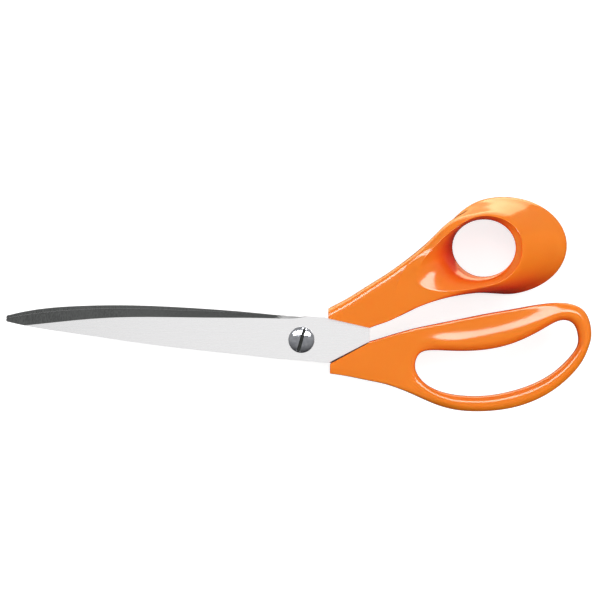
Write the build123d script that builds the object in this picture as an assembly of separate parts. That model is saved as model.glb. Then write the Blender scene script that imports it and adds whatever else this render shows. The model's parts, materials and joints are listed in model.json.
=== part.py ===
from build123d import *
from math import cos, pi, sin
import os

# Fabric shears: two stainless blades with tangs, two moulded plastic handles and an adjustable pivot.
#
# Units are millimetres. The parts are drawn about the pivot: X runs from the blade tips (-X) to the
# handles (+X), Y points to the thumb handle, and Z is the pivot axis, from the nut up to the slotted
# head. Z = 0 is the plane in which the two blades slide past each other. At the end everything moves
# to the row frame: the middle of the footprint is the origin and the lowest point is at Z = 0.

# ---- blades ---------------------------------------------------------------------------------
BLADE_THICKNESS = 2.6
INNER_Z = 0.1
OUTER_Z = INNER_Z + BLADE_THICKNESS
TIP_X = -126.2
TIP_THICKNESS = 1.9
TAPER_START_X = -9.0
TAPER_SLOPE = (BLADE_THICKNESS - TIP_THICKNESS) / (TAPER_START_X - TIP_X)
EDGE_LAND = 0.45
TANG_HOLE_R = 2.4
WASHER_ROOM = 0.1

# ---- pivot ----------------------------------------------------------------------------------
HEAD_R = 5.55
HEAD_RIM = 0.7
HEAD_HEIGHT = 2.3
SLOT_WIDTH = 1.4
SLOT_DEPTH = 1.2
SLOT_ANGLE = 74.5
SHOULDER_R = 3.2
THREAD_R = 2.5
CLEARANCE = 0.05
GLIDE_WASHER_R = 7.0
GLIDE_RECESS = 0.5
SPRING_WASHER_R = 4.8
SPRING_WASHER_THICKNESS = 0.6
SPRING_WASHER_RISE = 0.3
NUT_ACROSS_FLATS = 8.0
NUT_HEIGHT = 3.0
THREAD_STICK_OUT = 0.7
THREAD_CHAMFER = 0.4
DOME_MID_R = 0.6 * HEAD_R
DOME_MID_RISE = 0.68

# ---- handles --------------------------------------------------------------------------------
ARM_HALF = 5.8
RING_FRONT_Z = 6.5
RIM_Z = -15.0
ROOT_X = 11.5
SHOULDER_X = 29.1
STOP_GAP = 0.3
ARM_ROUND = 2.0
LOOP_ROUND = 2.5
CREST_ROUND = 1.2
RIM_ROUND = 1.6
RIM_BAND = 2.2
# Cutters reach this far past the surfaces that they cut.
BEYOND = 1.0
THROUGH = 10.0

# Cutting edge of the front blade, from the tip back, with the width of the ground bevel there.
FRONT_EDGE = [
    (-125.4, 9.4, 4.0),
    (-111.6, 11.6, 4.8),
    (-94.5, 13.0, 4.45),
    (-77.4, 13.5, 3.9),
    (-51.7, 12.7, 3.1),
    (-26.0, 11.7, 2.3),
    (-10.0, 10.6, 1.5),
]
FRONT_EDGE_END = (2.0, 10.1)
FRONT_SPINE = [
    (-125.4, 7.7),
    (-111.6, 4.9),
    (-94.5, 2.4),
    (-68.8, -1.4),
    (-34.6, -5.4),
    (-10.0, -8.1),
]

# Spine and cutting edge of the back blade; its bevel has the same widths as the front blade's.
BACK_SPINE = [
    (-125.0, 10.6),
    (-111.6, 13.2),
    (-94.5, 14.5),
    (-77.4, 14.8),
    (-51.7, 13.9),
    (-26.0, 12.1),
    (-8.0, 10.3),
]
BACK_EDGE = [
    (-124.6, 8.6, 3.6),
    (-111.6, 6.1, 4.6),
    (-94.5, 3.6, 4.4),
    (-68.8, -0.2, 3.8),
    (-34.6, -4.2, 2.6),
    (-10.0, -6.9, 1.5),
]
BACK_EDGE_END = (2.0, -7.9)

# The bare roots of the blades end on these slanted lines, and the handles' shoulders face them.
FRONT_REAR = [(ROOT_X - 0.2, -9.95), (SHOULDER_X, -0.75)]
BACK_REAR = [(ROOT_X - 0.2, 8.45), (SHOULDER_X - 0.2, -1.2)]
# The thumb handle's front covers its blade down to this height at the root, and the finger handle's
# back ends on this line.
COVER_Y = 9.15
FINGER_BACK_END = [(ROOT_X - 0.2, -10.9), (SHOULDER_X, -4.5)]
FINGER_ROOT_X = ROOT_X + 0.7
FRONT_TANG_HOLES = [(29.0, 13.5), (38.5, 19.0)]
BACK_TANG_HOLES = [(26.0, -8.6), (37.0, -9.6)]


def flat_ring(outer_r, inner_r, low, high):
    """A flat washer standing on the pivot axis between two heights."""
    ring = Circle(outer_r) - Circle(inner_r)
    return Pos(0, 0, low) * extrude(ring, amount=high - low)


def plate(outline, low, high):
    """A closed outline made into a plate between two heights."""
    return Pos(0, 0, low) * extrude(make_face(outline), amount=high - low)


def smooth(points):
    """One smooth curve through a few outline points."""
    return Spline(*[(x, y) for x, y, *rest in points])


def blade_outline(edge, edge_end, spine, rear):
    """Outline of a blade with its tang: cutting edge, root, spine and round nose."""
    edge_curve = smooth(edge + [edge_end])
    spine_curve = smooth(spine)
    nose_low, nose_high = spine_curve @ 0, edge_curve @ 0
    nose = ThreePointArc(nose_low, (TIP_X, (nose_low.Y + nose_high.Y) / 2), nose_high)
    root = Polyline(edge_curve @ 1, *rear, spine_curve @ 1)
    return [edge_curve, root, spine_curve, nose]


def taper_cutter(side):
    """The wedge ground off a blade's outer face so that it thins towards the tip."""
    far = TIP_X - THROUGH
    clear = OUTER_Z + BEYOND
    wedge = Polyline(
        (TAPER_START_X, OUTER_Z),
        (far, outer_face_z(far)),
        (far, clear),
        (TAPER_START_X, clear),
        close=True,
    )
    cutter = extrude(Plane.XZ * make_face(wedge), amount=4 * THROUGH, both=True)
    return cutter if side > 0 else mirror(cutter, about=Plane.XY)


def bevel_cutter(stations, side, outward):
    """The wedge ground off a blade's outer face along its cutting edge.

    Each station is a triangle across the blade: its sloping side runs from the narrow land left
    beside the edge up to the outer face, at the bevel's width from the edge.
    """
    sections = []
    for x, edge_y, width in stations:
        face_z = outer_face_z(x)
        land_z = INNER_Z + EDGE_LAND
        run = width / (face_z - land_z)
        top_z = face_z + BEYOND
        outside_y = edge_y + outward * BEYOND
        low = (x, edge_y - outward * (width + run * BEYOND), side * top_z)
        high = (x, outside_y, side * top_z)
        foot = (x, outside_y, side * (land_z - BEYOND / run))
        sections.append(Wire.make_polygon([low, high, foot], close=True))
    return Solid.make_loft(sections, ruled=False)


def outer_face_z(x):
    """Height of a blade's outer face above the shear plane, with its taper towards the tip."""
    return OUTER_Z - TAPER_SLOPE * max(0.0, TAPER_START_X - x)


def bevel_stations(edge, edge_end):
    """The cutting edge's stations, carried past the tip and run out to nothing at the root."""
    first, second = edge[:2]
    ahead = 6.0
    least_width = 0.15
    slope = (second[1] - first[1]) / (second[0] - first[0])
    before = (first[0] - ahead, first[1] - slope * ahead, first[2])
    run_out = (*edge_end, least_width)
    return [before] + edge + [run_out]


def front_blade():
    """Upper blade: cutting edge along the top, tang running up into the thumb handle."""
    rear = [
        (ROOT_X, 9.35),
        (ROOT_X + 4.5, 11.0),
        (30.0, 19.5),
        (44.0, 28.5),
        (46.0, 25.5),
        (44.0, 16.5),
        (SHOULDER_X, 8.5),
        FRONT_REAR[1],
        FRONT_REAR[0],
        (4.0, -9.2),
    ]
    outline = blade_outline(FRONT_EDGE, FRONT_EDGE_END, FRONT_SPINE, rear)
    body = plate(outline, INNER_Z, OUTER_Z)
    body -= taper_cutter(1)
    body -= bevel_cutter(bevel_stations(FRONT_EDGE, FRONT_EDGE_END), 1, 1)
    body -= Cylinder(SHOULDER_R + CLEARANCE, THROUGH)
    for x, y in FRONT_TANG_HOLES:
        body -= Pos(x, y, 0) * Cylinder(TANG_HOLE_R, THROUGH)
    return body


def back_blade():
    """Lower blade: cutting edge along the bottom, tang running down into the finger handle."""
    rear = [
        (4.0, -8.5),
        (ROOT_X + 1.1, -9.9),
        (ROOT_X + 4.5, -12.2),
        (30.0, -14.8),
        (42.5, -17.0),
        (44.5, -14.5),
        (43.5, -2.5),
        (SHOULDER_X + 1.5, -3.4),
        BACK_REAR[1],
        BACK_REAR[0],
        (4.0, 9.45),
    ]
    outline = blade_outline(BACK_EDGE, BACK_EDGE_END, BACK_SPINE, rear)
    body = plate(outline, -OUTER_Z, -INNER_Z)
    body -= taper_cutter(-1)
    body -= bevel_cutter(bevel_stations(BACK_EDGE, BACK_EDGE_END), -1, -1)
    body -= Cylinder(THREAD_R + CLEARANCE, THROUGH)
    recess = Circle(GLIDE_WASHER_R + WASHER_ROOM)
    body -= Pos(0, 0, -INNER_Z - GLIDE_RECESS) * extrude(recess, amount=GLIDE_RECESS + INNER_Z)
    for x, y in BACK_TANG_HOLES:
        body -= Pos(x, y, 0) * Cylinder(TANG_HOLE_R, THROUGH)
    return body


def ellipse_points(centre, reach, z, count=12):
    """Points round an ellipse, counter-clockwise from its +X end."""
    angles = [2 * pi * step / count for step in range(count)]
    return [(centre[0] + reach[0] * cos(a), centre[1] + reach[1] * sin(a), z) for a in angles]


def closed_wire(points):
    """One smooth closed curve through its points."""
    return Wire([Edge.make_spline(points, periodic=True)])


# The thumb tunnel leans: its mouth is a long drop open towards the arm, its throat is above the
# middle and its back opening is an ellipse further from the pivot.
THUMB_MOUTH = [
    (95.2, 39.0),
    (92.6, 47.2),
    (85.2, 52.6),
    (76.0, 54.2),
    (66.5, 51.0),
    (56.5, 41.8),
    (48.6, 31.0),
    (50.6, 22.3),
    (61.0, 20.6),
    (73.0, 21.6),
    (84.0, 24.6),
    (91.8, 30.6),
]
THUMB_LEVELS = [
    (1.5, (72.5, 39.0), (19.5, 13.3)),
    (-4.0, (78.0, 39.4), (18.6, 12.7)),
    (-9.5, (83.2, 39.9), (20.0, 14.4)),
    (RIM_Z - 1.0, (87.4, 40.3), (22.8, 16.9)),
]
# Outside of the thumb ring: where it leaves the arm's face, and the ellipse of its back rim.
THUMB_CREST = [
    (97.0, 39.0),
    (94.0, 48.6),
    (86.2, 54.6),
    (76.0, 56.6),
    (65.8, 53.0),
    (54.4, 42.2),
    (45.0, 32.0),
    (46.5, 20.4),
    (60.0, 17.8),
    (73.0, 19.6),
    (85.0, 22.6),
    (93.8, 29.6),
]
THUMB_RIM_CENTRE = (87.3, 40.5)
THUMB_RIM_REACH = (27.3, 21.0)

THUMB_ARM_TOP = [(ROOT_X, 12.7), (25.3, 21.0), (38.1, 29.1), (50.9, 39.0), (63.0, 49.8)]
THUMB_ARM_LOW = [(SHOULDER_X, 5.1), (42.4, 10.4), (55.2, 15.4), (70.0, 20.0)]


def level_edges(body, *heights):
    """The curved edges of a body that lie flat at one of some heights."""
    near = 0.02
    found = []
    for edge in body.edges().filter_by(GeomType.BSPLINE):
        box = edge.bounding_box()
        if any(abs(box.min.Z - z) < near and abs(box.max.Z - z) < near for z in heights):
            found.append(edge)
    return found


def thumb_arm():
    """The flat arm of the thumb handle, with the shoulder that stops the back blade when closed."""
    top = smooth(THUMB_ARM_TOP)
    low = smooth(THUMB_ARM_LOW)
    end = Line(top @ 1, low @ 1)
    front = Polyline(low @ 0, (ROOT_X, COVER_Y), top @ 0)
    shoulder = [(x, y + STOP_GAP) for x, y in reversed(BACK_REAR)]
    back = Polyline(low @ 0, (SHOULDER_X, shoulder[0][1]), (ROOT_X, shoulder[1][1]), top @ 0)
    body = plate([top, end, low, front], INNER_Z, ARM_HALF)
    body += plate([top, end, low, back], -ARM_HALF, INNER_Z)
    return fillet(level_edges(body, ARM_HALF, -ARM_HALF), ARM_ROUND)


def thumb_flare():
    """Outside of the thumb ring: from the crest on the arm's face it widens to the back rim."""
    crest = closed_wire([(x, y, RING_FRONT_Z) for x, y in THUMB_CREST])
    widest = closed_wire(ellipse_points(THUMB_RIM_CENTRE, THUMB_RIM_REACH, RIM_Z + RIM_BAND))
    cone = Solid.make_loft([crest, widest], ruled=False)
    cone = fillet(level_edges(cone, RING_FRONT_Z), CREST_ROUND)
    rim = closed_wire(ellipse_points(THUMB_RIM_CENTRE, THUMB_RIM_REACH, RIM_Z))
    return cone + extrude(Face(rim), amount=RIM_BAND, dir=(0, 0, 1))


def thumb_tunnel():
    """The leaning space for the thumb, from its drop-shaped mouth to the oval back opening."""
    mouth = closed_wire([(x, y, RING_FRONT_Z + 0.8) for x, y in THUMB_MOUTH])
    levels = [closed_wire(ellipse_points(centre, reach, z)) for z, centre, reach in THUMB_LEVELS]
    return Solid.make_loft([mouth] + levels, ruled=False)


def thumb_handle(tang):
    """Thumb handle: a flat arm that opens into a flared, leaning tunnel for the thumb."""
    body = thumb_arm() + thumb_flare() - thumb_tunnel()
    body = fillet(level_edges(body, RIM_Z), RIM_ROUND)
    return body - tang


FINGER_OUTER = [
    (22.0, -2.8),
    (46.7, 4.5),
    (76.6, 10.6),
    (98.0, 14.5),
    (111.0, 15.8),
    (119.6, 13.0),
    (123.85, 3.0),
    (119.1, -10.6),
    (103.2, -24.2),
    (89.4, -29.2),
    (75.0, -30.6),
    (59.5, -28.3),
    (42.4, -20.7),
    (27.0, -17.0),
    (FINGER_ROOT_X, -14.0),
]
FINGER_HOLE = [
    (48.5, -10.6),
    (54.0, -4.6),
    (72.0, -4.6),
    (89.4, -1.8),
    (104.0, 5.1),
    (112.0, 8.6),
    (117.6, 5.4),
    (117.2, -3.7),
    (107.7, -14.0),
    (93.5, -20.8),
    (75.0, -24.2),
    (57.5, -21.4),
    (50.2, -16.0),
]


def finger_handle(tang):
    """Finger handle: a flat arm and a long finger loop, moulded round the back blade's tang."""
    outer = smooth(FINGER_OUTER)
    end = Polyline(outer @ 1, (FINGER_ROOT_X, -8.0), outer @ 0)
    body = plate([outer, end], -ARM_HALF, ARM_HALF)
    clear = ARM_HALF + BEYOND
    hole = closed_wire([(x, y, -clear) for x, y in FINGER_HOLE])
    body -= extrude(Face(hole), amount=2 * clear, dir=(0, 0, 1))
    body = fillet(level_edges(body, ARM_HALF, -ARM_HALF), LOOP_ROUND)
    front_end = [(x, y - STOP_GAP) for x, y in FRONT_REAR]
    above = [(SHOULDER_X, 5.0), (ROOT_X - 0.2, 5.0)]
    body -= plate(Polyline(*front_end, *above, close=True), -INNER_Z, clear)
    body -= plate(Polyline(*FINGER_BACK_END, *above, close=True), -clear, -INNER_Z)
    return body - tang


def pivot_screw():
    """Slotted dome-head screw: a shoulder that the front blade turns on, then the threaded end."""
    under = OUTER_Z + CLEARANCE
    top = under + HEAD_HEIGHT
    shoulder_end = -INNER_Z - GLIDE_RECESS + CLEARANCE
    tip = -OUTER_Z - SPRING_WASHER_THICKNESS - SPRING_WASHER_RISE - NUT_HEIGHT - THREAD_STICK_OUT
    low_side = Polyline(
        (0, tip),
        (THREAD_R - THREAD_CHAMFER, tip),
        (THREAD_R, tip + THREAD_CHAMFER),
        (THREAD_R, shoulder_end),
        (SHOULDER_R, shoulder_end),
        (SHOULDER_R, under),
        (HEAD_R, under),
        (HEAD_R, under + HEAD_RIM),
    )
    dome_mid = (DOME_MID_R, under + HEAD_RIM + (HEAD_HEIGHT - HEAD_RIM) * DOME_MID_RISE)
    dome = ThreePointArc(low_side @ 1, dome_mid, (0, top))
    profile = Plane.XZ * make_face([low_side, dome, Line((0, top), (0, tip))])
    body = revolve(profile, axis=Axis.Z)
    slot = Box(4 * HEAD_R, SLOT_WIDTH, 2 * SLOT_DEPTH)
    return body - Pos(0, 0, top) * Rot(0, 0, SLOT_ANGLE) * slot


def glide_washer():
    """Thin washer between the blades, set in a shallow recess of the back blade."""
    recess_floor = -INNER_Z - GLIDE_RECESS
    return flat_ring(GLIDE_WASHER_R, SHOULDER_R + CLEARANCE, recess_floor, INNER_Z - CLEARANCE)


def spring_washer():
    """Shallow cone washer that keeps the pivot's tension, behind the back blade."""
    high = -OUTER_Z
    inner = THREAD_R + 0.2
    cone = Polyline(
        (inner, high - SPRING_WASHER_RISE),
        (SPRING_WASHER_R, high),
        (SPRING_WASHER_R, high - SPRING_WASHER_THICKNESS),
        (inner, high - SPRING_WASHER_RISE - SPRING_WASHER_THICKNESS),
        close=True,
    )
    return revolve(Plane.XZ * make_face(cone), axis=Axis.Z)


def pivot_nut():
    """Hexagonal nut on the screw's end, with its outer corners turned down."""
    high = -OUTER_Z - SPRING_WASHER_RISE - SPRING_WASHER_THICKNESS
    flat_r = NUT_ACROSS_FLATS / 2
    hexagon = RegularPolygon(flat_r / cos(pi / 6), 6) - Circle(THREAD_R + CLEARANCE)
    body = extrude(hexagon, amount=NUT_HEIGHT)
    standing = (Align.CENTER, Align.CENTER, Align.MIN)
    turned = Cone(flat_r, flat_r + 2 * NUT_HEIGHT, NUT_HEIGHT, align=standing)
    return Pos(0, 0, high - NUT_HEIGHT) * (body & turned)


def assembly():
    """Every piece about the pivot, by its node name."""
    front = front_blade()
    back = back_blade()
    return {
        "front_blade": front,
        "back_blade": back,
        "thumb_handle": thumb_handle(front),
        "finger_handle": finger_handle(back),
        "pivot_screw": pivot_screw(),
        "glide_washer": glide_washer(),
        "spring_washer": spring_washer(),
        "pivot_nut": pivot_nut(),
    }


def main():
    """Set the shears down in the row frame and write one STEP file for each piece."""
    pieces = assembly()
    box = Compound(children=[piece.moved(Location()) for piece in pieces.values()]).bounding_box()
    middle = box.center()
    to_row = Location((-middle.X, -middle.Y, -box.min.Z))
    os.makedirs("parts", exist_ok=True)
    for name, piece in pieces.items():
        export_step(piece.moved(to_row), f"parts/{name}.step")
    print("pivot axis at X %.4f, Y %.4f; shear plane at Z %.4f" % (-middle.X, -middle.Y, -box.min.Z))


main()
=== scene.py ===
import json
from math import cos, radians, sin, sqrt, tau

import bmesh
import bpy
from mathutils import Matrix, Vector


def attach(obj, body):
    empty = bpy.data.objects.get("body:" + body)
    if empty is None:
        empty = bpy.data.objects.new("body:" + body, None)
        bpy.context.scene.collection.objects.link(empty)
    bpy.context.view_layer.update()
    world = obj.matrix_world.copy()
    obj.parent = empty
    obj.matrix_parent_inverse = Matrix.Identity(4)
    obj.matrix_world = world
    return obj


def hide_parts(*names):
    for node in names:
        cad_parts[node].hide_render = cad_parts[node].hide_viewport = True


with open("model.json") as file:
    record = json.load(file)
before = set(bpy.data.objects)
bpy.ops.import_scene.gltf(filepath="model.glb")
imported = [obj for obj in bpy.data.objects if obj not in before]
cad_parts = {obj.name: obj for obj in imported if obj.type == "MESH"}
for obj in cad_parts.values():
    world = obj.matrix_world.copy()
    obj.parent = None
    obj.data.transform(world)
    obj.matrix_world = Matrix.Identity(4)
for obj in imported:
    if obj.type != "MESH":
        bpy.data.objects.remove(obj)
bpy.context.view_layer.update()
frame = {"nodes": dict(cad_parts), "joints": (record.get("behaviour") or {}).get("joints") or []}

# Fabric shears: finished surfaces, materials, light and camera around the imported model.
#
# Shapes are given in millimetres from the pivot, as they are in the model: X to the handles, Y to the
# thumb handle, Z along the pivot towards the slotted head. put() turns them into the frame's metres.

MM = 0.001
PIVOT = Vector(frame["joints"][0]["pos_m"])

# ---- driving sizes, in millimetres and degrees, as in the model -------------------------------
ARM_HALF = 5.8
ROOT_X = 11.5
FINGER_ROOT_X = ROOT_X + 0.7
SHOULDER_X = 29.1
BLADE_FACE = 0.1
SLOT_ANGLE = 74.5
SLOT_WIDTH = 1.4
SLOT_DEPTH = 1.2
SLOT_MARGIN = 0.05
# Heights past the arms' front and back, for the blocks that cut their ends.
ABOVE_ALL = 9.0
BELOW_ALL = -9.0

# ---- how the meshes are made, in millimetres and degrees --------------------------------------
SMOOTH_LEVELS = 3
FIT_ROUNDS = 4
FIT_SHARE = 0.8
SAME_PLACE = 0.01
LOW_BAND = 0.5
ROUND_SEGMENTS = 4
ROUND_PROFILE = 0.5
BROKEN_SEGMENTS = 2
BROKEN_PROFILE = 0.6
SHARP_ANGLE = 35
CORNER_ANGLE = 30
WELD = 0.002
FLAT_ANGLE = 0.2
# Upright share of a blade face's normal: above the first on its flat, between the two on its bevel.
FLAT_TILT = 0.9997
GROUND_TILT = 0.3


def put(x, y, z):
    """A point in millimetres from the pivot, as a point in the frame."""
    return PIVOT + Vector((x, y, z)) * MM


# ---- mesh helpers -----------------------------------------------------------------------------
def link(name, content):
    """A new object for a mesh, a lamp or a camera, in the scene."""
    piece = bpy.data.objects.new(name, content)
    bpy.context.scene.collection.objects.link(piece)
    return piece


def apply_modifiers(piece):
    """Replace a piece's mesh by what its modifiers make of it."""
    evaluated = piece.evaluated_get(bpy.context.evaluated_depsgraph_get())
    mesh = bpy.data.meshes.new_from_object(evaluated)
    piece.modifiers.clear()
    piece.data = mesh


def cage_object(name, points, faces):
    """A control cage as an object, from points in millimetres from the pivot."""
    mesh = bpy.data.meshes.new(name)
    mesh.from_pydata([put(*p) for p in points], [], faces)
    mesh.validate()
    return link(name, mesh)


def fit_through(piece):
    """Push a cage outwards until the smooth surface made from it passes through its first points."""
    target = [v.co.copy() for v in piece.data.vertices]
    for _ in range(FIT_ROUNDS):
        evaluated = piece.evaluated_get(bpy.context.evaluated_depsgraph_get())
        smooth = [v.co.copy() for v in evaluated.data.vertices[: len(target)]]
        for vertex, wanted, now in zip(piece.data.vertices, target, smooth):
            vertex.co += (wanted - now) * FIT_SHARE
        piece.data.update()
        bpy.context.view_layer.update()


def subdivide(piece):
    """Give a cage a smooth surface through its points."""
    subsurf = piece.modifiers.new("smooth", "SUBSURF")
    subsurf.levels = SMOOTH_LEVELS
    subsurf.render_levels = SMOOTH_LEVELS
    bpy.context.view_layer.update()
    fit_through(piece)
    apply_modifiers(piece)


def crease(piece, path, sharpness):
    """Keep a cage's edges between neighbouring points of a path from being smoothed away."""
    places = [put(*point) for point in path]
    follows = {}
    for vertex in piece.data.vertices:
        for k, place in enumerate(places):
            if (vertex.co - place).length < SAME_PLACE * MM:
                follows[vertex.index] = k
    sharp = piece.data.attributes.new("crease_edge", "FLOAT", "EDGE")
    for edge in piece.data.edges:
        ends = [follows.get(i) for i in edge.vertices]
        if None not in ends and abs(ends[0] - ends[1]) == 1:
            sharp.data[edge.index].value = sharpness


def face_outwards(piece):
    """Turn every face of a closed piece outwards."""
    shape = bmesh.new()
    shape.from_mesh(piece.data)
    bmesh.ops.recalc_face_normals(shape, faces=shape.faces)
    shape.to_mesh(piece.data)
    shape.free()


def round_low_edges(piece, radius):
    """Round the edges round the lowest face of a block."""
    shape = bmesh.new()
    shape.from_mesh(piece.data)
    floor_z = min(v.co.z for v in shape.verts)
    rim = [e for e in shape.edges if all(v.co.z < floor_z + LOW_BAND * MM for v in e.verts)]
    bmesh.ops.bevel(
        shape, geom=rim, offset=radius * MM, segments=ROUND_SEGMENTS, profile=ROUND_PROFILE, affect="EDGES",
    )
    shape.to_mesh(piece.data)
    shape.free()


def prism(outline, low, high):
    """A straight-sided block over an outline, between two heights."""
    count = len(outline)
    points = [(x, y, low) for x, y in outline] + [(x, y, high) for x, y in outline]
    faces = [tuple(reversed(range(count))), tuple(range(count, 2 * count))]
    faces += [(i, (i + 1) % count, (i + 1) % count + count, i + count) for i in range(count)]
    piece = cage_object("tool", points, faces)
    face_outwards(piece)
    return piece


def combine(piece, tool, operation):
    """Join a block to a piece, or cut it away."""
    boolean = piece.modifiers.new("combine", "BOOLEAN")
    boolean.operation = operation
    boolean.solver = "EXACT"
    boolean.object = tool
    apply_modifiers(piece)
    bpy.data.objects.remove(tool)


def between(a, b, share):
    """The point part of the way from a to b."""
    return tuple(p + (q - p) * share for p, q in zip(a, b))


# Rows of a ring's section between which an arm's sections start: on its front and on its back.
FRONT_ROW = 4
BACK_ROW = 7


def ring_with_arm(sections, arm, first, last):
    """Cage of a closed ring with an arm: its points and its faces.

    sections are the ring's sections, each a loop of points. Between the sections first and last, and
    between the front row and the back row, the ring's outside is open, and the arm's loops start there.
    """
    count, size = len(sections), len(sections[0])
    points = [p for section in sections for p in section]
    faces = []
    for k in range(count):
        for j in range(size):
            if first <= k < last and FRONT_ROW <= j < BACK_ROW:
                continue
            k2, j2 = (k + 1) % count, (j + 1) % size
            faces.append((k * size + j, k2 * size + j, k2 * size + j2, k * size + j2))
    front = [k * size + FRONT_ROW for k in range(first, last + 1)]
    low_side = [last * size + j for j in range(FRONT_ROW + 1, BACK_ROW)]
    back = [k * size + BACK_ROW for k in range(last, first - 1, -1)]
    high_side = [first * size + j for j in range(BACK_ROW - 1, FRONT_ROW, -1)]
    loop = front + low_side + back + high_side
    for section in arm:
        start = len(points)
        points += section
        following = list(range(start, start + len(section)))
        for i in range(len(loop)):
            i2 = (i + 1) % len(loop)
            faces.append((loop[i], following[i], following[i2], loop[i2]))
        loop = following
    faces.append(tuple(reversed(loop)))
    used = sorted({i for face in faces for i in face})
    place = {old: new for new, old in enumerate(used)}
    return [points[i] for i in used], [tuple(place[i] for i in face) for face in faces]


LOW_CORNER = 2.0


def arm_loop(top, bottom, shares, drops, high_corner):
    """One section across an arm: its front, its lower side, its back and its upper side.

    shares place the points between the top and bottom edges, drops take them in towards the edges, and
    the corners are how far the sides' points lie from the front and back.
    """
    across = [between(top, bottom, share) for share in shares]
    front = [(x, y, ARM_HALF - drop) for (x, y), drop in zip(across, drops)]
    back = [(x, y, drop - ARM_HALF) for (x, y), drop in zip(across, drops)]
    low_side = [(*bottom, ARM_HALF - LOW_CORNER), (*bottom, LOW_CORNER - ARM_HALF)]
    high_side = [(*top, high_corner - ARM_HALF), (*top, ARM_HALF - high_corner)]
    return front + low_side + back[::-1] + high_side


# ---- thumb handle -----------------------------------------------------------------------------
HOLE_CENTRE, HOLE_REACH = (78.4, 39.3), (13.6, 12.3)
RIM_CENTRE, RIM_REACH = (87.3, 40.5), (27.3, 21.0)
BELL_CENTRE, BELL_REACH = (87.4, 40.3), (22.6, 16.7)
THUMB_STATIONS = 16
THUMB_ARM_FROM, THUMB_ARM_TO = 7, 10

# Crest of the lip round the thumb opening, one point for each station counter-clockwise from +X.
CREST = [
    (94.2, 39.0, 6.6), (93.3, 44.6, 6.6), (90.0, 49.0, 6.5), (84.8, 51.9, 6.5),
    (78.4, 52.9, 6.5), (71.4, 51.4, 6.5), (63.6, 46.4, 6.5), (55.7, 39.0, 6.4),
    (49.4, 31.6, 5.8), (47.6, 26.6, 5.2), (50.4, 21.8, 5.8), (60.5, 20.2, 6.0),
    (74.3, 21.9, 6.2), (83.4, 24.1, 6.4), (89.8, 28.1, 6.5), (93.3, 33.5, 6.6),
]
# Stations along the upper left of the opening, where the crest is a fine ridge.
RIDGE = slice(3, 9)
RIDGE_SHARPNESS = 0.25
# Stations where the lip runs out softly into the arm's flat face.
SOFT_CREST = {8: 0.55, 9: 0.4}
# Outside of the ring where it grows out of the arm: front, upper side, lower side and back points.
# The arm covers the points that are None.
ARM_JOIN = {
    6: [(62.6, 48.9, 4.6), (63.2, 50.6, 1.4), (64.5, 51.3, -3.5), (66.3, 52.3, -8.5)],
    7: [(53.0, 39.5, 4.8), (53.0, 40.6, 1.8), (54.0, 41.6, -3.4), (56.0, 42.0, -7.6)],
    8: [(43.6, 30.4, 5.8), None, None, (48.4, 33.5, -6.6)],
    9: [(42.0, 23.6, 5.8), None, None, (46.6, 25.5, -6.4)],
    10: [(46.4, 14.6, 5.5), (46.9, 12.7, 3.6), (48.0, 12.9, -3.6), (50.4, 15.4, -6.8)],
    11: [(60.5, 18.4, 5.4), (60.8, 17.6, 3.0), (62.0, 18.2, -3.5), (64.5, 19.8, -8.5)],
}
NOWHERE = (0, 0, 0)

# The throat of the tunnel lies deeper on its left; the dish runs and rises from it to the crest.
THROAT_RIGHT_Z = 2.8
THROAT_DROP = 12.6
DISH_RUN, DISH_RUN_LEFT = 0.16, 0.16
DISH_RISE, DISH_RISE_LEFT = 0.62, 0.06
LIP_SHARE = 0.24
LIP_DROP = 0.4
# The flare's outside, from a shoulder just past the crest down to the back rim.
SHOULDER_OUT = 2.0
SHOULDER_DROP = 1.6
FLARE_SHARES = (0.22, 0.5, 0.78)
RIM_Z = -15.0
RIM_ROUND = 2.4
RIM_TUCK = 0.03
FOOT_SHARE = 0.07
FOOT_RISE = 0.2
BELL_ROUND = 1.6

# Top and bottom edges of the arm, from the ring to the root.
THUMB_ARM_EDGES = [
    ((41.0, 31.2), (38.0, 8.3)),
    ((34.0, 26.4), (31.5, 6.0)),
    ((25.3, 21.0), (24.0, 3.0)),
    ((16.7, 15.7), (16.0, 0.0)),
    ((8.0, 10.4), (7.0, -3.5)),
]
TOP_INSET = 2.2
BOTTOM_INSET = 1.1
MIDDLE_SHARES = (0.4, 0.7)
THUMB_DROPS = (0.45, 0, 0, 0.3)
THUMB_HIGH_CORNER = 3.2

# The arm's flat end: from the front blade's inner face forwards, and from there back, where the other
# half comes to a stop.
COVER_ROOT, COVER_SHOULDER = (ROOT_X, 9.15), (SHOULDER_X, 5.09)
STOP_ROOT, STOP_SHOULDER = (ROOT_X, 8.75), (SHOULDER_X, -0.9)
THUMB_END_LOW, THUMB_END_HIGH = -9.0, 20.0
TAB_BACK = [(SHOULDER_X, 8.0), (20.0, 12.0)]
TAB_LOW = 0.3 - ARM_HALF
TAB_ROUND = 0.9


def on_ellipse(centre, reach, angle, z):
    """A point of a level ellipse."""
    return (centre[0] + reach[0] * cos(angle), centre[1] + reach[1] * sin(angle), z)


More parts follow.
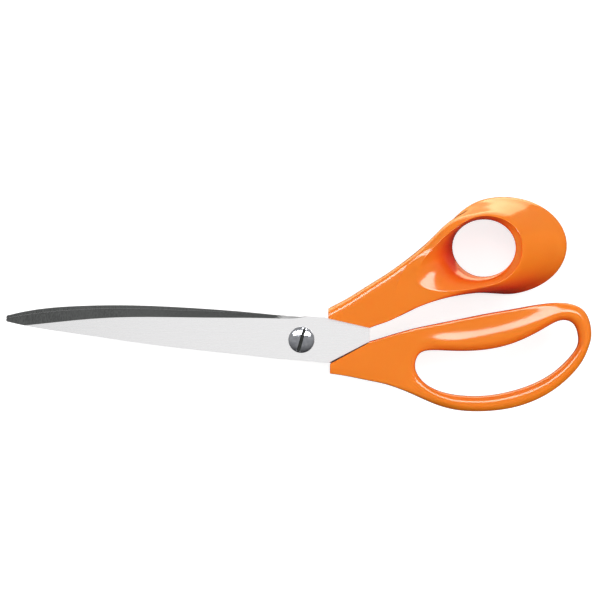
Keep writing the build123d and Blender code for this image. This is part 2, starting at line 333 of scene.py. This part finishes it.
def thumb_section(station):
    """One section of the thumb ring: throat, lip, outside of the flare, back rim, inside of the bell."""
    angle = tau * station / THUMB_STATIONS
    left = (1 - cos(angle)) / 2
    throat = on_ellipse(HOLE_CENTRE, HOLE_REACH, angle, THROAT_RIGHT_Z - THROAT_DROP * left)
    crest = CREST[station]
    slope = between(throat, crest, DISH_RUN + DISH_RUN_LEFT * left)
    slope_z = throat[2] + (crest[2] - throat[2]) * (DISH_RISE + DISH_RISE_LEFT * left)
    slope = (slope[0], slope[1], slope_z)
    lip = between(crest, slope, LIP_SHARE)
    lip = (lip[0], lip[1], crest[2] - LIP_DROP * SOFT_CREST.get(station, 1.0))
    rim = on_ellipse(RIM_CENTRE, RIM_REACH, angle, RIM_Z + RIM_ROUND)
    if station in ARM_JOIN:
        outside = [point or NOWHERE for point in ARM_JOIN[station]]
        rim = between(rim, (*RIM_CENTRE, rim[2]), RIM_TUCK)
    else:
        outward = (Vector(rim[:2]) - Vector(crest[:2])).normalized() * SHOULDER_OUT
        shoulder = (crest[0] + outward.x, crest[1] + outward.y, crest[2] - SHOULDER_DROP)
        outside = [shoulder] + [between(shoulder, rim, share) for share in FLARE_SHARES]
    foot = between(rim, (*BELL_CENTRE, RIM_Z), FOOT_SHARE)
    foot = (foot[0], foot[1], RIM_Z + FOOT_RISE)
    bell = on_ellipse(BELL_CENTRE, BELL_REACH, angle, RIM_Z + BELL_ROUND)
    inside = between(bell, throat, 0.5)
    return [throat, slope, lip, crest, *outside, rim, foot, bell, inside]


def thumb_arm_section(top, bottom):
    """One section of the thumb arm; its top edge has the wider rounding."""
    width = sqrt((top[0] - bottom[0]) ** 2 + (top[1] - bottom[1]) ** 2)
    shares = (TOP_INSET / width, *MIDDLE_SHARES, 1 - BOTTOM_INSET / width)
    return arm_loop(top, bottom, shares, THUMB_DROPS, THUMB_HIGH_CORNER)


def thumb_handle():
    """Arm and flared ring in one smooth surface, then the flat shoulders at the blade."""
    sections = [thumb_section(k) for k in range(THUMB_STATIONS)]
    arm = [thumb_arm_section(top, bottom) for top, bottom in THUMB_ARM_EDGES]
    piece = cage_object("thumb_grip", *ring_with_arm(sections, arm, THUMB_ARM_FROM, THUMB_ARM_TO))
    face_outwards(piece)
    crease(piece, CREST[RIDGE], RIDGE_SHARPNESS)
    subdivide(piece)
    low_corners = [(0.0, THUMB_END_LOW), (SHOULDER_X, THUMB_END_LOW)]
    high_corners = [(ROOT_X, THUMB_END_HIGH), (0.0, THUMB_END_HIGH)]
    below_cover = low_corners + [COVER_SHOULDER, COVER_ROOT] + high_corners
    below_stop = low_corners + [STOP_SHOULDER, STOP_ROOT] + high_corners
    combine(piece, prism(below_cover, BLADE_FACE, ABOVE_ALL), "DIFFERENCE")
    combine(piece, prism(below_stop, BELOW_ALL, BLADE_FACE), "DIFFERENCE")
    tab = prism([STOP_ROOT, STOP_SHOULDER] + TAB_BACK, TAB_LOW, BLADE_FACE)
    round_low_edges(tab, TAB_ROUND)
    combine(piece, tab, "UNION")
    return piece


# ---- finger handle ----------------------------------------------------------------------------
# Each station goes from the loop's opening to its outside, counter-clockwise from the +X end.
LOOP = [
    ((118.4, 0.5), (123.9, 2.5)),
    ((117.4, 5.2), (122.6, 9.4)),
    ((114.6, 8.0), (118.4, 14.1)),
    ((109.8, 8.1), (110.5, 15.8)),
    ((103.5, 4.8), (100.5, 14.9)),
    ((95.5, 0.6), (90.0, 13.0)),
    ((86.0, -2.8), (79.5, 11.2)),
    ((75.5, -4.5), (69.0, 9.1)),
    ((65.0, -4.7), (58.5, 7.0)),
    ((55.5, -4.4), (46.6, 3.6)),
    ((50.3, -6.0), (43.8, -3.2)),
    ((48.5, -10.6), (42.6, -10.2)),
    ((49.7, -15.0), (43.4, -16.4)),
    ((53.8, -19.4), (47.0, -21.8)),
    ((61.0, -22.6), (57.5, -27.6)),
    ((70.0, -24.0), (68.5, -30.2)),
    ((79.5, -23.9), (81.0, -30.3)),
    ((89.4, -22.1), (92.5, -28.4)),
    ((99.0, -18.9), (103.2, -24.2)),
    ((107.7, -14.0), (112.5, -17.7)),
    ((114.2, -8.0), (119.6, -9.8)),
    ((117.6, -3.4), (122.8, -2.8)),
]
LOOP_ARM_FROM, LOOP_ARM_TO = 9, 13
# How wide and crowned the bar is at the stations along the top of the loop.
WIDE_SHARE = {2: 0.15, 3: 0.5, 4: 0.85, 5: 1, 6: 1, 7: 1, 8: 1}
# Sections as shares of the width and of the half thickness: a round bar, a wide crowned bar, flat.
ROUND_BAR = [
    (0, 0.38), (0.14, 0.8), (0.38, 1.0), (0.66, 0.98), (0.89, 0.7), (1, 0.28),
    (1, -0.3), (0.86, -0.8), (0.5, -1.0), (0.14, -0.8), (0, -0.36),
]
WIDE_BAR = [
    (0, 0.3), (0.06, 0.76), (0.28, 1.1), (0.6, 0.94), (0.92, 0.84), (1, 0.55),
    (1, -0.55), (0.92, -0.9), (0.5, -1.0), (0.08, -0.8), (0, -0.3),
]
FLAT_BAR = [
    (0, 0.5), (0.13, 0.86), (0.4, 1.0), (0.7, 1.0), (1, 1.0), (1, 0.6),
    (1, -0.6), (1, -1.0), (0.6, -1.0), (0.13, -0.86), (0, -0.5),
]
BAR_HALF = 4.9
# Points on the loop's outside where its bars run into the arm's edges; z is from the middle.
UPPER_JOIN = (47.0, 4.4, 3.6)
LOWER_JOIN = (46.6, -22.8, 3.4)

# Top and bottom edges of the arm, from the loop to the root.
FINGER_ARM_EDGES = [
    ((38.1, 2.0), (37.0, -19.2)),
    ((31.0, -0.2), (30.5, -17.7)),
    ((23.5, -2.3), (23.0, -16.2)),
    ((16.0, -4.6), (16.0, -14.9)),
    ((8.0, -7.0), (8.0, -13.4)),
]
FINGER_SHARES = (0.06, 0.3, 0.52, 0.75, 0.94)
FINGER_DROPS = (0.35, 0, 0, 0, 0.45)
FINGER_HIGH_CORNER = 1.8

# The arm's flat end: from the back blade's inner face forwards, and from there back.
FRONT_END = [(FINGER_ROOT_X, -10.25), (SHOULDER_X, -1.05)]
BACK_END = [(FINGER_ROOT_X, -10.9), (SHOULDER_X, -4.5)]
FINGER_END_LOW, FINGER_END_HIGH = -20.0, 9.0


def loop_section(station):
    """One section of the finger loop, from its opening over the front to its outside and back."""
    hole, outer = LOOP[station]
    wide = WIDE_SHARE.get(station, 0)
    flat = station in range(LOOP_ARM_FROM, LOOP_ARM_TO + 1)
    shape = FLAT_BAR if flat else [between(r, w, wide) for r, w in zip(ROUND_BAR, WIDE_BAR)]
    half = ARM_HALF if flat else BAR_HALF + (ARM_HALF - BAR_HALF) * wide
    return [(*between(hole, outer, share), half * height) for share, height in shape]


def finger_handle():
    """Arm and long finger loop in one smooth surface, then the flat shoulders at the blade."""
    sections = [loop_section(k) for k in range(len(LOOP))]
    for station, (x, y, z) in ((LOOP_ARM_FROM, UPPER_JOIN), (LOOP_ARM_TO, LOWER_JOIN)):
        sections[station][FRONT_ROW + 1] = (x, y, z)
        sections[station][BACK_ROW - 1] = (x, y, -z)
    arm = [
        arm_loop(top, bottom, FINGER_SHARES, FINGER_DROPS, FINGER_HIGH_CORNER)
        for top, bottom in FINGER_ARM_EDGES
    ]
    piece = cage_object("finger_grip", *ring_with_arm(sections, arm, LOOP_ARM_FROM, LOOP_ARM_TO))
    face_outwards(piece)
    subdivide(piece)
    low_corners = [(0.0, FINGER_END_LOW), (FINGER_ROOT_X, FINGER_END_LOW)]
    high_corners = [(SHOULDER_X, FINGER_END_HIGH), (0.0, FINGER_END_HIGH)]
    combine(piece, prism(low_corners + FRONT_END + high_corners, -BLADE_FACE, ABOVE_ALL), "DIFFERENCE")
    combine(piece, prism(low_corners + BACK_END + high_corners, BELOW_ALL, -BLADE_FACE), "DIFFERENCE")
    return piece


# ---- colours ----------------------------------------------------------------------------------
WHITE = (1, 1, 1, 1)
FLOOR_GREY = (0.5, 0.5, 0.5, 1)
ORANGE = (0.66, 0.165, 0.011, 1)
ORANGE_LIGHT = (0.71, 0.19, 0.015, 1)
# Deeper red mixed in by ambient occlusion: painted shade in hollows and between the handles.
ORANGE_PAINTED_SHADE = (0.68, 0.026, 0.009, 1)
SATIN_DARK = (0.88, 0.875, 0.88, 1)
SATIN_LIGHT = (0.915, 0.91, 0.915, 1)
# Near-black steel of the ground bevel and inner face: painted shade and dark reflection on a rougher
# finish.
GROUND_SHADE_DARK = (0.116, 0.12, 0.118, 1)
GROUND_SHADE_LIGHT = (0.208, 0.214, 0.211, 1)
EDGE_DULL = (0.8, 0.8, 0.8, 1)
EDGE_BRIGHT = (0.96, 0.96, 0.96, 1)
CHROME_DARK = (0.36, 0.37, 0.4, 1)
CHROME_LIGHT = (0.5, 0.51, 0.54, 1)
# Near-black steel inside the screw's slot: painted shade of the recess.
SLOT_SHADE_DARK = (0.012, 0.013, 0.012, 1)
SLOT_SHADE_LIGHT = (0.03, 0.032, 0.03, 1)
NYLON_DARK = (0.62, 0.6, 0.54, 1)
NYLON_LIGHT = (0.72, 0.7, 0.64, 1)
SPRING_DARK = (0.22, 0.22, 0.24, 1)
SPRING_LIGHT = (0.36, 0.36, 0.38, 1)


# ---- materials --------------------------------------------------------------------------------
class Nodes:
    """A material with its shader, and short ways to add and join nodes."""

    def __init__(self, name):
        self.material = bpy.data.materials.new(name)
        self.material.use_nodes = True
        self.tree = self.material.node_tree
        self.shader = self.tree.nodes["Principled BSDF"]
        self.place = self.add("ShaderNodeTexCoord").outputs["Object"]

    def add(self, kind, **settings):
        """A node, with its settings and its unlinked inputs given by name."""
        node = self.tree.nodes.new(kind)
        for key, value in settings.items():
            if hasattr(node, key):
                setattr(node, key, value)
            else:
                node.inputs[key.replace("_", " ")].default_value = value
        return node

    def join(self, output, socket):
        """Link an output to an input."""
        self.tree.links.new(output, socket)

    def set(self, **values):
        """Uniform values on the shader's own sockets."""
        for key, value in values.items():
            self.shader.inputs[key.replace("_", " ")].default_value = value

    def grain(self, scale, detail=3.0, stretch=(1, 1, 1), turn=0.0):
        """Noise in object space, stretched and turned about Z; returns its value."""
        mapping = self.add("ShaderNodeMapping")
        mapping.inputs["Scale"].default_value = stretch
        mapping.inputs["Rotation"].default_value = (0, 0, turn)
        noise = self.add("ShaderNodeTexNoise", Scale=scale, Detail=detail)
        self.join(self.place, mapping.inputs["Vector"])
        self.join(mapping.outputs[0], noise.inputs["Vector"])
        return noise.outputs["Fac"]

    def spread(self, value, low=0.0, high=1.0, start=0.0, end=1.0):
        """A value mapped from start..end to low..high."""
        ramp = self.add("ShaderNodeMapRange")
        ramp.inputs["From Min"].default_value = start
        ramp.inputs["From Max"].default_value = end
        ramp.inputs["To Min"].default_value = low
        ramp.inputs["To Max"].default_value = high
        self.join(value, ramp.inputs["Value"])
        return ramp.outputs["Result"]

    def blend(self, share, first, second):
        """Two colours mixed by a share; each may be an output or a plain colour."""
        mix = self.add("ShaderNodeMix", data_type="RGBA")
        for source, socket in ((share, mix.inputs[0]), (first, mix.inputs[6]), (second, mix.inputs[7])):
            if isinstance(source, bpy.types.NodeSocket):
                self.join(source, socket)
            else:
                socket.default_value = source
        return mix.outputs[2]

    def colour(self, output):
        """The shader's colour."""
        self.join(output, self.shader.inputs["Base Color"])

    def roughness(self, output):
        """The shader's roughness."""
        self.join(output, self.shader.inputs["Roughness"])

    def bump(self, height, distance, strength):
        """Fine relief from a height value."""
        node = self.add("ShaderNodeBump", Strength=strength, Distance=distance)
        self.join(height, node.inputs["Height"])
        self.join(node.outputs["Normal"], self.shader.inputs["Normal"])


def moulded_plastic():
    """Glossy orange plastic with a faint mould ripple; ambient occlusion paints a deeper red shade into its
    hollows.
    """
    m = Nodes("orange_plastic")
    # Painted shade: ambient occlusion mixes the orange towards a deeper red in hollows and between the
    # handles.
    shade_occlusion = m.add("ShaderNodeAmbientOcclusion", samples=8, Distance=0.05)
    unshaded_share = m.spread(shade_occlusion.outputs["AO"], start=0.5, end=0.96)
    cloud = m.spread(m.grain(60.0, detail=2.0), high=0.12)
    face = m.blend(cloud, ORANGE, ORANGE_LIGHT)
    m.colour(m.blend(unshaded_share, ORANGE_PAINTED_SHADE, face))
    m.roughness(m.spread(m.grain(420.0), low=0.09, high=0.17))
    m.set(IOR=1.35, Subsurface_Weight=0.22, Subsurface_Scale=0.004, Subsurface_Radius=(1.0, 0.14, 0.03))
    m.bump(m.grain(260.0, detail=2.0), distance=0.00002, strength=0.35)
    return m.material


def blade_steel(name, outer_sign):
    """Blade steel: bright satin outer face; ground bevel and inner face rougher and painted near black, as
    painted shade and dark reflection; bright corners.

    The three finishes follow the direction that a face points in, so they stay where they are ground.
    """
    m = Nodes(name)
    split = m.add("ShaderNodeSeparateXYZ")
    m.join(m.add("ShaderNodeNewGeometry").outputs["True Normal"], split.inputs[0])
    facing = m.add("ShaderNodeMath", operation="MULTIPLY")
    facing.inputs[1].default_value = outer_sign
    m.join(split.outputs["Z"], facing.inputs[0])
    outer = m.spread(facing.outputs[0], start=0.998, end=0.9995)
    steep = m.add("ShaderNodeMath", operation="ABSOLUTE")
    m.join(split.outputs["Z"], steep.inputs[0])
    corner = m.spread(steep.outputs[0], low=1.0, high=0.0, start=0.5, end=0.6)
    along = m.grain(2600.0, stretch=(0.02, 1, 1), turn=radians(3))
    across = m.grain(2600.0, stretch=(1, 0.03, 1), turn=radians(8))
    broad = m.grain(40.0, detail=2.0)
    satin = m.blend(m.spread(along, start=0.3, end=0.7), SATIN_DARK, SATIN_LIGHT)
    # Ground bevel and inner face: near-black colour, painted shade and dark reflection on top of their
    # rougher finish.
    ground = m.blend(m.spread(across, start=0.3, end=0.7), GROUND_SHADE_DARK, GROUND_SHADE_LIGHT)
    ground = m.blend(m.spread(broad, high=0.5, start=0.35, end=0.65), ground, GROUND_SHADE_LIGHT)
    m.colour(m.blend(corner, m.blend(outer, ground, satin), EDGE_BRIGHT))
    finish = m.add("ShaderNodeMix", data_type="FLOAT")
    m.join(outer, finish.inputs[0])
    finish.inputs[2].default_value = 0.6
    m.join(m.spread(along, low=0.25, high=0.29, start=0.3, end=0.7), finish.inputs[3])
    m.roughness(finish.outputs[0])
    m.set(Metallic=1.0)
    m.bump(along, distance=0.0000006, strength=0.2)
    return m.material


def polished_edge():
    """The bright line along the blades' edges, where they are honed."""
    m = Nodes("honed_edge")
    hone = m.grain(3000.0, stretch=(1, 0.05, 1))
    m.colour(m.blend(hone, EDGE_DULL, EDGE_BRIGHT))
    m.roughness(m.spread(hone, low=0.42, high=0.55))
    m.set(Metallic=1.0)
    return m.material


def chrome():
    """Polished plating of the screw and nut, with fine handling marks."""
    m = Nodes("polished_chrome")
    wear = m.grain(700.0, detail=5.0)
    m.colour(m.blend(m.spread(wear, start=0.35, end=0.7), CHROME_DARK, CHROME_LIGHT))
    m.roughness(m.spread(wear, low=0.06, high=0.15))
    m.set(Metallic=1.0)
    m.bump(m.grain(1500.0, detail=2.0), distance=0.000003, strength=0.3)
    return m.material


def slot_painted_shade():
    """Rough, unpolished steel inside the screw's slot, coloured near black as painted shade of the recess.
    """
    m = Nodes("slot_painted_shade")
    m.colour(m.blend(m.grain(900.0), SLOT_SHADE_DARK, SLOT_SHADE_LIGHT))
    m.set(Metallic=1.0, Roughness=0.5)
    m.bump(m.grain(1500.0), distance=0.000004, strength=0.4)
    return m.material


def nylon():
    """Pale nylon of the glide washer."""
    m = Nodes("pale_nylon")
    m.colour(m.blend(m.grain(500.0), NYLON_DARK, NYLON_LIGHT))
    m.set(Roughness=0.5)
    m.bump(m.grain(900.0), distance=0.00001, strength=0.3)
    return m.material


def spring_steel():
    """Darker rolled steel of the spring washer."""
    m = Nodes("spring_steel")
    streaks = m.grain(600.0, detail=4.0, stretch=(0.1, 1, 1))
    m.colour(m.blend(streaks, SPRING_DARK, SPRING_LIGHT))
    m.set(Metallic=1.0, Roughness=0.38)
    m.bump(streaks, distance=0.000005, strength=0.4)
    return m.material


def floor_paint():
    """Plain pale floor, lit a little from within so that it stays even."""
    m = Nodes("floor")
    m.set(Base_Color=FLOOR_GREY, Roughness=0.9, Emission_Color=WHITE, Emission_Strength=0.75)
    return m.material


# ---- pieces -----------------------------------------------------------------------------------
def handle(make, body, node, material):
    """A handle, smooth but for its sharp edges, in place of its plain CAD solid."""
    piece = make()
    piece.data.materials.clear()
    piece.data.materials.append(material)
    for polygon in piece.data.polygons:
        polygon.use_smooth = True
    piece.data.set_sharp_from_angle(angle=radians(SHARP_ANGLE))
    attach(piece, body)
    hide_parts(node)


def mark_ridges(shape):
    """Keep the low ridges between a blade's flat face and its ground bevel crisp."""
    for edge in shape.edges:
        if len(edge.link_faces) != 2:
            continue
        tilts = sorted(abs(face.normal.z) for face in edge.link_faces)
        if tilts[1] > FLAT_TILT and GROUND_TILT < tilts[0] < FLAT_TILT:
            edge.smooth = False


def broken_edges(node, width, edge_slot):
    """A CAD piece's shape, cleaned, with bevelled corners; edge_slot is their material, or -1."""
    shape = bmesh.new()
    shape.from_mesh(frame["nodes"][node].data)
    bmesh.ops.remove_doubles(shape, verts=shape.verts, dist=WELD * MM)
    bmesh.ops.dissolve_limit(shape, angle_limit=radians(FLAT_ANGLE), verts=shape.verts, edges=shape.edges)
    shape.normal_update()
    mark_ridges(shape)
    corners = [
        edge for edge in shape.edges
        if edge.smooth and edge.is_manifold and edge.calc_face_angle() > radians(CORNER_ANGLE)
    ]
    bmesh.ops.bevel(
        shape, geom=corners, offset=width * MM, segments=BROKEN_SEGMENTS, profile=BROKEN_PROFILE,
        affect="EDGES", clamp_overlap=True, material=edge_slot,
    )
    return shape


def finished(node, body, slot, name, width, *materials):
    """A CAD piece with its own shape, its edges broken so that they catch the light.

    The second material, if there is one, is for the broken edges.
    """
    shape = broken_edges(node, width, 1 if len(materials) > 1 else -1)
    mesh = bpy.data.meshes.new(name)
    shape.to_mesh(mesh)
    shape.free()
    piece = link(name, mesh)
    for material in materials:
        mesh.materials.append(material)
    for polygon in mesh.polygons:
        polygon.use_smooth = True
    weighted = piece.modifiers.new("even normals", "WEIGHTED_NORMAL")
    weighted.keep_sharp = True
    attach(piece, body)
    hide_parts(node)
    return piece


def paint_slot_shade(screw, material):
    """Give the faces inside the screw's slot the near-black colour that paints the recess's shade."""
    screw.data.materials.append(material)
    turn = radians(SLOT_ANGLE)
    across = Vector((-sin(turn), cos(turn), 0))
    reach = (SLOT_WIDTH / 2 + SAME_PLACE) * MM
    floor_z = max(v.co.z for v in screw.data.vertices) - (SLOT_DEPTH + SLOT_MARGIN) * MM
    for polygon in screw.data.polygons:
        from_axis = abs((polygon.center - PIVOT).dot(across))
        if from_axis < reach and polygon.center.z > floor_z:
            polygon.material_index = 1


# ---- floor, camera and light ------------------------------------------------------------------
# Places, aims and the view's width are in millimetres; the floor's and the lamps' sizes are in metres.
FLOOR_HALF = 3
AIM = (-0.385, 17.0, 0)
VIEW_WIDTH = 256.9876
LENS = 200
SENSOR_WIDTH = 36
LIGHT_AIM = (0, 20, 0)
FLARE_AIM = (82, 57, 0)
UNDER_AIM = (75, 57, 0)
FILL_SIZE = (0.6, 0.6)
WARM = (1, 0.9, 0.55)
AMBER = (1, 0.62, 0.25)
WORLD_LEAN = 0.9
WORLD_REACH = 0.8
WORLD_DARK = 0.03
WORLD_BRIGHT = 0.56


POLISHED_PIECES = [
    "thumb_grip", "finger_grip", "slotted_screw", "hexagon_nut", "cone_washer", "nylon_washer",
]
SATIN_PIECES = ["upper_blade", "lower_blade"]


def pale_floor():
    """The floor, which shows no reflection and takes nothing from the light on the shears."""
    corners = [(-1, -1), (1, -1), (1, 1), (-1, 1)]
    mesh = bpy.data.meshes.new("floor")
    mesh.from_pydata([(x * FLOOR_HALF, y * FLOOR_HALF, 0) for x, y in corners], [], [(0, 1, 2, 3)])
    mesh.materials.append(floor_paint())
    floor = link("floor", mesh)
    floor.visible_glossy = False
    floor.visible_diffuse = False
    floor.visible_shadow = False


def camera():
    """A long lens straight above the shears, as far away as the view's width needs."""
    lens = bpy.data.cameras.new("camera")
    lens.lens = LENS
    lens.sensor_width = SENSOR_WIDTH
    eye = link("camera", lens)
    eye.location = put(*AIM) + Vector((0, 0, VIEW_WIDTH * MM * LENS / SENSOR_WIDTH))
    bpy.context.scene.camera = eye


def group(name, *pieces):
    """A collection of the pieces that one light falls on."""
    members = bpy.data.collections.new(name)
    for piece in pieces:
        members.objects.link(bpy.data.objects[piece])
    return members


def area_light(name, where, size, power, aim=LIGHT_AIM, color=WHITE[:3]):
    """A rectangular lamp, sizes in metres, its place and aim in millimetres from the pivot."""
    lamp = bpy.data.lights.new(name, "AREA")
    lamp.shape = "RECTANGLE"
    lamp.size, lamp.size_y = size
    lamp.energy = power
    lamp.color = color
    lamp_object = link(name, lamp)
    lamp_object.location = put(*where)
    direction = put(*aim) - lamp_object.location
    lamp_object.rotation_euler = direction.to_track_quat("-Z", "Y").to_euler()
    lamp_object.visible_camera = False
    return lamp_object


def reflected_box(name, where, size, power, falls_on, **settings):
    """A light box that only shows as a highlight, on the pieces of one group."""
    lamp_object = area_light(name, where, size, power, **settings)
    lamp_object.visible_diffuse = False
    lamp_object.light_linking.receiver_collection = falls_on


def fill_light(name, where, power, size=FILL_SIZE):
    """A soft light with no highlight of its own."""
    area_light(name, where, size, power).visible_glossy = False


def studio_world():
    """Grey surroundings, brightest above and towards +Y, dark below."""
    world = bpy.data.worlds.new("studio")
    bpy.context.scene.world = world
    world.use_nodes = True
    nodes, links = world.node_tree.nodes, world.node_tree.links
    split = nodes.new("ShaderNodeSeparateXYZ")
    links.new(nodes.new("ShaderNodeTexCoord").outputs["Generated"], split.inputs[0])
    lean = nodes.new("ShaderNodeMath")
    lean.operation = "MULTIPLY_ADD"
    lean.inputs[1].default_value = WORLD_LEAN
    links.new(split.outputs["Z"], lean.inputs[0])
    links.new(split.outputs["Y"], lean.inputs[2])
    grade = nodes.new("ShaderNodeMapRange")
    grade.interpolation_type = "SMOOTHSTEP"
    grade.inputs["From Min"].default_value = -WORLD_REACH
    grade.inputs["From Max"].default_value = WORLD_REACH
    grade.inputs["To Min"].default_value = WORLD_DARK
    grade.inputs["To Max"].default_value = WORLD_BRIGHT
    links.new(lean.outputs[0], grade.inputs["Value"])
    links.new(grade.outputs["Result"], nodes["Background"].inputs["Strength"])
    nodes["Background"].inputs["Color"].default_value = WHITE


def studio_lights():
    """Long box and low boxes for the plastic and the screw, one for the blades, and soft fills."""
    polished = group("polished", *POLISHED_PIECES)
    satin = group("satin", *SATIN_PIECES)
    reflected_box("top_box", (20, 480, 720), (1.4, 0.3), 26.0, polished)
    reflected_box("steel_box", (330, 0, 900), (1.16, 0.9), 1.3, satin, aim=(330, 0, 0))
    reflected_box("low_box", (-40, 850, -420), (1.15, 0.75), 11.0, polished, aim=FLARE_AIM, color=WARM)
    reflected_box("under_box", (0, 620, -760), (1.4, 0.7), 5.0, polished, aim=UNDER_AIM, color=AMBER)
    fill_light("fill_top", (-100, 500, 700), 3.0)
    fill_light("fill_behind", (0, 900, 60), 2.0)
    fill_light("fill_right", (800, 0, 420), 4.4)
    fill_light("fill_left", (-600, 400, 400), 2.6)
    fill_light("fill_low", (50, -700, 420), 3.0, size=(0.8, 0.6))


# ---- the scene --------------------------------------------------------------------------------
orange = moulded_plastic()
handle(thumb_handle, "thumb_half", "thumb_handle", orange)
handle(finger_handle, "finger_half", "finger_handle", orange)
bright = chrome()
edge = polished_edge()
upper = blade_steel("upper_steel", 1)
lower = blade_steel("lower_steel", -1)
finished("front_blade", "thumb_half", "blade_steel", "upper_blade", 0.22, upper, edge)
finished("back_blade", "finger_half", "blade_steel", "lower_blade", 0.22, lower, edge)
screw = finished("pivot_screw", "tension_screw", "screw_chrome", "slotted_screw", 0.06, bright)
paint_slot_shade(screw, slot_painted_shade())
finished("pivot_nut", "finger_half", "screw_chrome", "hexagon_nut", 0.15, bright)
finished("glide_washer", "finger_half", "washer_plastic", "nylon_washer", 0.05, nylon())
finished("spring_washer", "finger_half", "washer_steel", "cone_washer", 0.08, spring_steel())
camera()
pale_floor()
studio_lights()
studio_world()
bpy.context.scene.view_settings.view_transform = "Standard"
